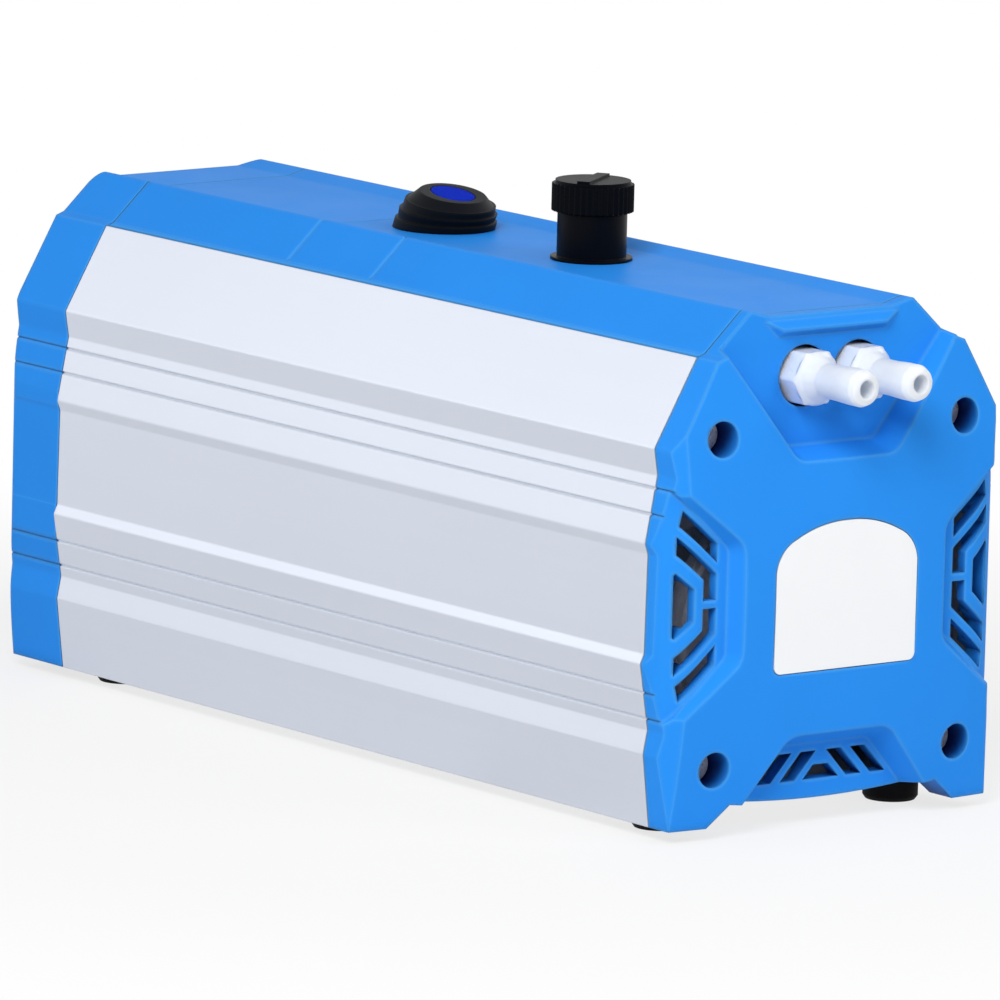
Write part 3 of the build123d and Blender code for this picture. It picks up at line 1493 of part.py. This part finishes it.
def write_node(name, shape):
    """Write one node: a single piece or a group of separate solids, moved to the row's origin."""
    pieces = shape if isinstance(shape, list) else [shape]
    solids = [solid for piece in pieces for solid in piece.solids()]
    group = solids[0] if len(solids) == 1 else Compound(children=solids)
    export_step(Pos(0, -origin_y, origin_lift) * group, f"parts/{name}.step")


def main():
    os.makedirs("parts", exist_ok=True)
    nodes = {
        "front_cap": front_cap(),
        "rear_cap": rear_cap(),
        "top_cover": top_cover(),
        "right_side_panel": side_panel(1),
        "left_side_panel": side_panel(-1),
        "base_plate": base_plate(),
        "label_plate": label_plate(),
        "cap_screws": cap_screws(True) + cap_screws(False),
        "mains_inlet": mains_inlet(),
        "mains_inlet_pins": inlet_pins(),
        "mains_inlet_screws": inlet_screws(),
        "rubber_feet": rubber_feet(),
        "foot_screws": foot_screws(),
        "foot_nuts": foot_nuts(),
        "rubber_buffers": rubber_buffers(),
        "buffer_bolts": buffer_bolts(),
        "inlet_nozzle": hose_nozzle(-nozzle_half_spacing),
        "outlet_nozzle": hose_nozzle(nozzle_half_spacing),
        "switch_boot": switch_boot(),
        "switch_button": switch_button(),
        "switch_body": switch_body(),
        "switch_nut": switch_nut(),
        "regulator_body": regulator_body(),
        "regulator_nut": regulator_nut(),
        "regulator_knob": regulator_knob(),
        "regulator_spindle": regulator_spindle(),
        "regulator_hose": regulator_hose(),
        "head_cover": head_cover(),
        "head_plate": head_plate(),
        "valve_sheet": valve_sheet(),
        "head_screws": head_screws(),
        "diaphragm": diaphragm(),
        "clamp_disc": clamp_disc(),
        "clamp_screw": clamp_screw(),
        "connecting_rod": connecting_rod(),
        "crankcase": crankcase(),
        "crankcase_cover": crankcase_cover(),
        "eccentric": eccentric(),
        "rod_bearing_inner_ring": rod_bearing(True),
        "rod_bearing_outer_ring": rod_bearing(False),
        "motor_bearing_inner_rings": motor_bearings(True),
        "motor_bearing_outer_rings": motor_bearings(False),
        "front_motor_shield": motor_shield(True),
        "rear_motor_shield": motor_shield(False),
        "motor_tie_bolts": tie_bolts(),
        "motor_stator": motor_stator(),
        "motor_windings": motor_windings(),
        "motor_rotor": motor_rotor(),
        "motor_shaft": motor_shaft(),
        "cooling_fan": cooling_fan(),
        "motor_capacitor": motor_capacitor(),
        "capacitor_clip": capacitor_clip(),
        "terminal_block": terminal_block(),
    }
    for name, shape in nodes.items():
        write_node(name, shape)


main()
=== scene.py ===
import json

import bpy
from mathutils import Matrix, Vector

# A one-head laboratory diaphragm vacuum pump, dressed for a plain studio.  Metres, in the row's frame.
# Noise is set by its grains per metre, and colours are linear.

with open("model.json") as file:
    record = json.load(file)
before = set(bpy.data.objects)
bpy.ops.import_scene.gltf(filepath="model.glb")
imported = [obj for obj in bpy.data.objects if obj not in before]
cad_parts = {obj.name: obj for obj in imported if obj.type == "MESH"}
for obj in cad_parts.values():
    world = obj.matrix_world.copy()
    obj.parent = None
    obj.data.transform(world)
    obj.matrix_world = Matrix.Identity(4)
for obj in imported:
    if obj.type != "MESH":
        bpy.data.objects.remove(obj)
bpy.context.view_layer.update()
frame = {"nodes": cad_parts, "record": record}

flow_grains = 22.0
smear_grains = 55.0
shade_reach = 0.012
bevel_samples = 4
mask_samples = 6


# ---- Material building blocks ----


def new_material(name):
    """Material with one Principled shader; returns the material, its tree and the shader."""
    material = bpy.data.materials.new(name)
    material.use_nodes = True
    tree = material.node_tree
    return material, tree, tree.nodes["Principled BSDF"]


def object_coordinates(tree, stretch=(1.0, 1.0, 1.0)):
    """Object coordinates, stretched along the axes."""
    coordinates = tree.nodes.new("ShaderNodeTexCoord")
    mapping = tree.nodes.new("ShaderNodeMapping")
    mapping.inputs["Scale"].default_value = stretch
    tree.links.new(coordinates.outputs["Object"], mapping.inputs["Vector"])
    return mapping.outputs["Vector"]


def noise(tree, vector, grains, detail=3.0, roughness=0.5):
    """Noise of a number of grains per metre."""
    node = tree.nodes.new("ShaderNodeTexNoise")
    node.inputs["Scale"].default_value = grains
    node.inputs["Detail"].default_value = detail
    node.inputs["Roughness"].default_value = roughness
    tree.links.new(vector, node.inputs["Vector"])
    return node.outputs["Fac"]


def ramp(tree, value, low, high, low_at=0.35, high_at=0.65):
    """Colour that runs from low to high as a value rises."""
    node = tree.nodes.new("ShaderNodeValToRGB")
    node.color_ramp.elements[0].position = low_at
    node.color_ramp.elements[1].position = high_at
    node.color_ramp.elements[0].color = (*low, 1.0)
    node.color_ramp.elements[1].color = (*high, 1.0)
    tree.links.new(value, node.inputs["Fac"])
    return node.outputs["Color"]


def span(tree, value, low, high, low_at=0.0, high_at=1.0):
    """Number that runs from low to high as a value goes from low_at to high_at."""
    node = tree.nodes.new("ShaderNodeMapRange")
    node.inputs["From Min"].default_value = low_at
    node.inputs["From Max"].default_value = high_at
    node.inputs["To Min"].default_value = low
    node.inputs["To Max"].default_value = high
    tree.links.new(value, node.inputs["Value"])
    return node.outputs["Result"]


def relief(tree, shader, height, depth, edge_radius=0.0):
    """Bump of a depth in metres on the shader, over softly rounded edges."""
    bump = tree.nodes.new("ShaderNodeBump")
    bump.inputs["Strength"].default_value = 1.0
    bump.inputs["Distance"].default_value = depth
    tree.links.new(height, bump.inputs["Height"])
    if edge_radius > 0:
        bevel = tree.nodes.new("ShaderNodeBevel")
        bevel.samples = bevel_samples
        bevel.inputs["Radius"].default_value = edge_radius
        tree.links.new(bevel.outputs["Normal"], bump.inputs["Normal"])
    tree.links.new(bump.outputs["Normal"], shader.inputs["Normal"])


def tinted(colour, share):
    """A colour made lighter or darker by a share."""
    return tuple(min(1.0, channel * (1.0 + share)) for channel in colour)


def mixed_colour(tree, share, first, second):
    """Blend of two colours, each a socket or a plain colour."""
    mix = tree.nodes.new("ShaderNodeMix")
    mix.data_type = "RGBA"
    tree.links.new(share, mix.inputs[0])
    for socket, colour in ((mix.inputs[6], first), (mix.inputs[7], second)):
        if isinstance(colour, tuple):
            socket.default_value = (*colour, 1.0)
        else:
            tree.links.new(colour, socket)
    return mix.outputs[2]


def edge_highlight_mask(tree, radius):
    """1 along edges and corners of the mesh and 0 on its flats; the mask of a painted edge highlight."""
    bevel = tree.nodes.new("ShaderNodeBevel")
    bevel.samples = mask_samples
    bevel.inputs["Radius"].default_value = radius
    flat = tree.nodes.new("ShaderNodeNewGeometry")
    agree = tree.nodes.new("ShaderNodeVectorMath")
    agree.operation = "DOT_PRODUCT"
    tree.links.new(bevel.outputs["Normal"], agree.inputs[0])
    tree.links.new(flat.outputs["Normal"], agree.inputs[1])
    return span(tree, agree.outputs["Value"], 1.0, 0.0, low_at=0.90, high_at=0.998)


def hollow_shade_mask(tree, reach):
    """1 far in holes and slots and 0 on open faces; the mask of a painted shade in recesses."""
    occlusion = tree.nodes.new("ShaderNodeAmbientOcclusion")
    occlusion.samples = mask_samples
    occlusion.inputs["Distance"].default_value = reach
    return span(tree, occlusion.outputs["AO"], 1.0, 0.0, low_at=0.15, high_at=0.60)


def moulded(name, colour, roughness, grain=2600.0, depth=0.00002, mottle=0.05, edge=0.0006, gloss=0.5,
            highlight_colour=None, shade_colour=None):
    """Moulded plastic or rubber: fine spark-eroded grain, faint flow marks and uneven gloss.

    Edges may carry a painted highlight in a paler colour, and holes and slots a painted shade in a deeper
    colour."""
    material, tree, shader = new_material(name)
    vector = object_coordinates(tree)
    flow = noise(tree, vector, flow_grains, 4.0)
    skin = ramp(tree, flow, tinted(colour, -mottle), tinted(colour, mottle))
    # Painted highlight: edges and corners turn to a paler colour.
    if highlight_colour:
        skin = mixed_colour(tree, edge_highlight_mask(tree, edge), skin, highlight_colour)
    # Painted shade: holes and slots turn to a darker colour.
    if shade_colour:
        skin = mixed_colour(tree, hollow_shade_mask(tree, shade_reach), skin, shade_colour)
    tree.links.new(skin, shader.inputs["Base Color"])
    smears = noise(tree, vector, smear_grains, 5.0, 0.6)
    tree.links.new(span(tree, smears, roughness - 0.06, roughness + 0.08), shader.inputs["Roughness"])
    shader.inputs["Specular IOR Level"].default_value = gloss
    relief(tree, shader, noise(tree, vector, grain, 2.0), depth, edge)
    return material


def metal(name, colour, roughness, stretch=(1.0, 1.0, 1.0), grain=900.0, depth=0.00001, metallic=1.0,
          edge=0.0004):
    """Metal with a grain that can run along one axis, as turned, rolled or extruded metal has."""
    material, tree, shader = new_material(name)
    vector = object_coordinates(tree, stretch)
    streaks = noise(tree, vector, grain, 4.0, 0.6)
    skin = ramp(tree, streaks, tinted(colour, -0.05), tinted(colour, 0.04))
    tree.links.new(skin, shader.inputs["Base Color"])
    shader.inputs["Metallic"].default_value = metallic
    tree.links.new(span(tree, streaks, roughness - 0.05, roughness + 0.06), shader.inputs["Roughness"])
    relief(tree, shader, streaks, depth, edge)
    return material


def anodised(name, colour):
    """Bead-blasted, clear anodised extrusion: fine speckle over faint lines along the length."""
    material, tree, shader = new_material(name)
    line_grains, speckle_grains, cloud_grains = 420.0, 3200.0, 9.0
    along_the_length = (1.0, 0.012, 1.0)
    lines = noise(tree, object_coordinates(tree, along_the_length), line_grains, 3.0)
    speckle = noise(tree, object_coordinates(tree), speckle_grains, 2.0)
    clouds = noise(tree, object_coordinates(tree), cloud_grains, 3.0)
    mixed = tree.nodes.new("ShaderNodeMath")
    mixed.operation = "MULTIPLY_ADD"
    mixed.inputs[1].default_value = 0.5
    tree.links.new(lines, mixed.inputs[0])
    tree.links.new(clouds, mixed.inputs[2])
    skin = ramp(tree, mixed.outputs["Value"], tinted(colour, -0.015), tinted(colour, 0.015), 0.5, 1.0)
    tree.links.new(skin, shader.inputs["Base Color"])
    shader.inputs["Metallic"].default_value = 0.65
    tree.links.new(span(tree, lines, 0.34, 0.42), shader.inputs["Roughness"])
    relief(tree, shader, speckle, depth=0.000012, edge_radius=0.0005)
    return material


def translucent(name, colour, roughness, depth_of_glow):
    """Natural polymer that lets some light in, with faint moulding flow."""
    material, tree, shader = new_material(name)
    vector = object_coordinates(tree)
    flow = noise(tree, vector, 140.0, 3.0)
    skin = ramp(tree, flow, tinted(colour, -0.04), colour)
    tree.links.new(skin, shader.inputs["Base Color"])
    tree.links.new(span(tree, flow, roughness - 0.05, roughness + 0.08), shader.inputs["Roughness"])
    shader.inputs["Subsurface Weight"].default_value = 0.85
    shader.inputs["Subsurface Radius"].default_value = (1.0, 1.0, 1.0)
    shader.inputs["Subsurface Scale"].default_value = depth_of_glow
    relief(tree, shader, flow, depth=0.00002, edge_radius=0.0004)
    return material


def wound(name, colour):
    """Varnished winding wire: close parallel turns."""
    material, tree, shader = new_material(name)
    vector = object_coordinates(tree)
    turns = tree.nodes.new("ShaderNodeTexWave")
    turns.wave_type = "RINGS"
    turns.rings_direction = "Y"
    turns.inputs["Scale"].default_value = 320.0
    turns.inputs["Distortion"].default_value = 1.5
    tree.links.new(vector, turns.inputs["Vector"])
    skin = ramp(tree, turns.outputs["Fac"], tinted(colour, -0.4), tinted(colour, 0.2))
    tree.links.new(skin, shader.inputs["Base Color"])
    shader.inputs["Roughness"].default_value = 0.3
    relief(tree, shader, turns.outputs["Fac"], depth=0.0002)
    return material


def laminated(name, colour):
    """Stack of thin sheets across the length."""
    material, tree, shader = new_material(name)
    vector = object_coordinates(tree)
    sheets = tree.nodes.new("ShaderNodeTexWave")
    sheets.bands_direction = "Y"
    sheets.inputs["Scale"].default_value = 500.0
    tree.links.new(vector, sheets.inputs["Vector"])
    skin = ramp(tree, sheets.outputs["Fac"], tinted(colour, -0.3), tinted(colour, 0.2))
    tree.links.new(skin, shader.inputs["Base Color"])
    shader.inputs["Metallic"].default_value = 0.8
    shader.inputs["Roughness"].default_value = 0.5
    relief(tree, shader, sheets.outputs["Fac"], depth=0.00005)
    return material


blue = (0.022, 0.272, 0.85)
# Paler blue of the painted highlight along the edges of the blue plastic.
highlight_blue = (0.07, 0.37, 0.90)
# Darker blue of the painted shade in the holes and slots of the blue plastic.
shade_blue = (0.0005, 0.009, 0.11)
soft_black = (0.003, 0.004, 0.006)
hard_black = (0.001, 0.0015, 0.003)
materials = {
    # The blue plastic carries a painted highlight on its edges and painted shade in its holes.
    "blue_plastic": moulded("blue_plastic", blue, 0.48, mottle=0.02, depth=0.000012, edge=0.0017,
                            gloss=0.07, highlight_colour=highlight_blue, shade_colour=shade_blue),
    "anodised_aluminium": anodised("anodised_aluminium", (0.65, 0.69, 0.775)),
    "zinc_sheet": metal("zinc_sheet", (0.66, 0.67, 0.68), 0.35, grain=60.0, metallic=0.7),
    "label_white": moulded("label_white", (0.90, 0.91, 0.92), 0.30, grain=4000.0, depth=0.000004,
                           mottle=0.01, edge=0.0002),
    "screw_steel": metal("screw_steel", (0.95, 0.95, 0.96), 0.28, grain=1500.0, metallic=0.3),
    "black_rubber": moulded("black_rubber", (0.003, 0.003, 0.004), 0.65, grain=1800.0, mottle=0.15,
                            gloss=0.1),
    "dome_rubber": moulded("dome_rubber", soft_black, 0.50, grain=2200.0, mottle=0.15, edge=0.0008,
                           gloss=0.08),
    "button_blue": moulded("button_blue", (0.0005, 0.022, 0.50), 0.40, grain=3000.0, depth=0.000006,
                           edge=0.0007, gloss=0.004),
    "black_plastic": moulded("black_plastic", (0.016, 0.017, 0.019), 0.45, mottle=0.1),
    "knob_plastic": moulded("knob_plastic", hard_black, 0.42, mottle=0.1, edge=0.0005, gloss=0.05),
    "valve_black": moulded("valve_black", hard_black, 0.36, mottle=0.1, edge=0.0005, gloss=0.06),
    "turned_steel": metal("turned_steel", (0.56, 0.57, 0.58), 0.22, (1.0, 0.05, 1.0), 700.0),
    "silicone_hose": translucent("silicone_hose", (0.80, 0.80, 0.78), 0.35, 0.002),
    "nozzle_plastic": translucent("nozzle_plastic", (0.82, 0.87, 0.95), 0.28, 0.005),
    "contact_brass": metal("contact_brass", (0.80, 0.68, 0.38), 0.25, grain=1500.0),
    "cast_alloy": metal("cast_alloy", (0.88, 0.89, 0.90), 0.40, grain=1400.0, depth=0.00006, metallic=0.35),
    "elastomer": moulded("elastomer", (0.03, 0.03, 0.032), 0.6, mottle=0.1),
    "motor_iron": laminated("motor_iron", (0.20, 0.20, 0.21)),
    "winding_copper": wound("winding_copper", (0.50, 0.20, 0.07)),
    "capacitor_shell": moulded("capacitor_shell", (0.74, 0.74, 0.70), 0.3, mottle=0.03),
}


def dress_nodes():
    """Give every CAD node the material of its slot in the record."""
    for entry in frame["record"]["subparts"]:
        mesh = frame["nodes"][entry["node"]].data
        mesh.materials.clear()
        mesh.materials.append(materials[entry["material_slot"]])


dress_nodes()


# ---- Studio ----


def seen_directly(tree):
    """1 for rays from the camera, from reflections and through clear pieces, and 0 for the light itself."""
    path = tree.nodes.new("ShaderNodeLightPath")
    value = path.outputs["Is Camera Ray"]
    for name in ("Is Glossy Ray", "Is Transmission Ray"):
        either = tree.nodes.new("ShaderNodeMath")
        either.operation = "MAXIMUM"
        tree.links.new(value, either.inputs[0])
        tree.links.new(path.outputs[name], either.inputs[1])
        value = either.outputs["Value"]
    return value


def make_world(strength):
    """White surroundings that light the pump at a softer level than they are seen at."""
    world = bpy.data.worlds.new("studio")
    world.use_nodes = True
    tree = world.node_tree
    background = tree.nodes["Background"]
    background.inputs["Color"].default_value = (1.0, 1.0, 1.0, 1.0)
    tree.links.new(span(tree, seen_directly(tree), strength, 1.0), background.inputs["Strength"])
    bpy.context.scene.world = world


def floor_material(near_share, near_radius, white_radius):
    """White that shows its shading near the pump, where the shadow falls, and is plain farther off."""
    material, tree, shader = new_material("floor")
    grain = noise(tree, object_coordinates(tree), 3.0, 2.0)
    tree.links.new(ramp(tree, grain, (0.83, 0.83, 0.83), (0.85, 0.85, 0.85)), shader.inputs["Base Color"])
    shader.inputs["Roughness"].default_value = 0.9
    shader.inputs["Specular IOR Level"].default_value = 0.1
    distance = tree.nodes.new("ShaderNodeVectorMath")
    distance.operation = "LENGTH"
    tree.links.new(object_coordinates(tree), distance.inputs[0])
    fade = tree.nodes.new("ShaderNodeMapRange")
    fade.interpolation_type = "SMOOTHSTEP"
    fade.inputs["From Min"].default_value = near_radius
    fade.inputs["From Max"].default_value = white_radius
    fade.inputs["To Min"].default_value = near_share
    fade.inputs["To Max"].default_value = 1.0
    tree.links.new(distance.outputs["Value"], fade.inputs["Value"])
    share = tree.nodes.new("ShaderNodeMath")
    share.operation = "MULTIPLY"
    tree.links.new(fade.outputs["Result"], share.inputs[0])
    tree.links.new(seen_directly(tree), share.inputs[1])
    white = tree.nodes.new("ShaderNodeEmission")
    white.inputs["Strength"].default_value = 1.0
    blend = tree.nodes.new("ShaderNodeMixShader")
    tree.links.new(share.outputs["Value"], blend.inputs["Fac"])
    tree.links.new(shader.outputs["BSDF"], blend.inputs[1])
    tree.links.new(white.outputs["Emission"], blend.inputs[2])
    tree.links.new(blend.outputs["Shader"], tree.nodes["Material Output"].inputs["Surface"])
    return material


def make_floor(width, material):
    """Square floor that the pump stands on."""
    bpy.ops.mesh.primitive_plane_add(size=width, location=(0.0, 0.0, 0.0))
    floor = bpy.context.object
    floor.name = "floor"
    floor.data.materials.append(material)


def add_softbox(name, place, target, size, power, mirrored=True):
    """Square area light that faces a target, and may be left out of mirror images in metal and gloss."""
    light = bpy.data.lights.new(name, "AREA")
    light.shape = "SQUARE"
    light.size = size
    light.energy = power
    box = bpy.data.objects.new(name, light)
    box.visible_glossy = mirrored
    box.location = place
    aim = Vector(target) - Vector(place)
    box.rotation_euler = aim.to_track_quat("-Z", "Y").to_euler()
    bpy.context.scene.collection.objects.link(box)


def make_camera():
    """Long lens from the front left, a little above the roof and slightly rolled."""
    data = bpy.data.cameras.new("camera")
    data.sensor_width = 36.0
    data.lens = 430.31
    data.clip_end = 20.0
    camera = bpy.data.objects.new("camera", data)
    place = Vector((-1.90662, -2.45766, 0.59207))
    right = Vector((0.79312, -0.60854, 0.02532))
    up = Vector((0.08207, 0.14798, 0.98558))
    back = right.cross(up)
    camera.matrix_world = Matrix((
        (right.x, up.x, back.x, place.x),
        (right.y, up.y, back.y, place.y),
        (right.z, up.z, back.z, place.z),
        (0.0, 0.0, 0.0, 1.0),
    ))
    bpy.context.scene.collection.objects.link(camera)
    bpy.context.scene.camera = camera


make_world(strength=0.22)
make_floor(width=12.0, material=floor_material(near_share=0.75, near_radius=0.20, white_radius=0.45))
centre = (0.0, 0.0, 0.07)
add_softbox("key", (-1.0, -0.82, 1.08), centre, size=0.7, power=20.0, mirrored=False)
add_softbox("front_fill", (0.7, -1.3, 1.0), centre, size=0.9, power=6.8)
add_softbox("metal_sheen", (-0.95, 0.95, 0.55), centre, size=0.8, power=1.6)
add_softbox("right_rim", (1.6, 0.3, 0.9), centre, size=1.0, power=4.0)
make_camera()
bpy.context.scene.view_settings.view_transform = "Standard"
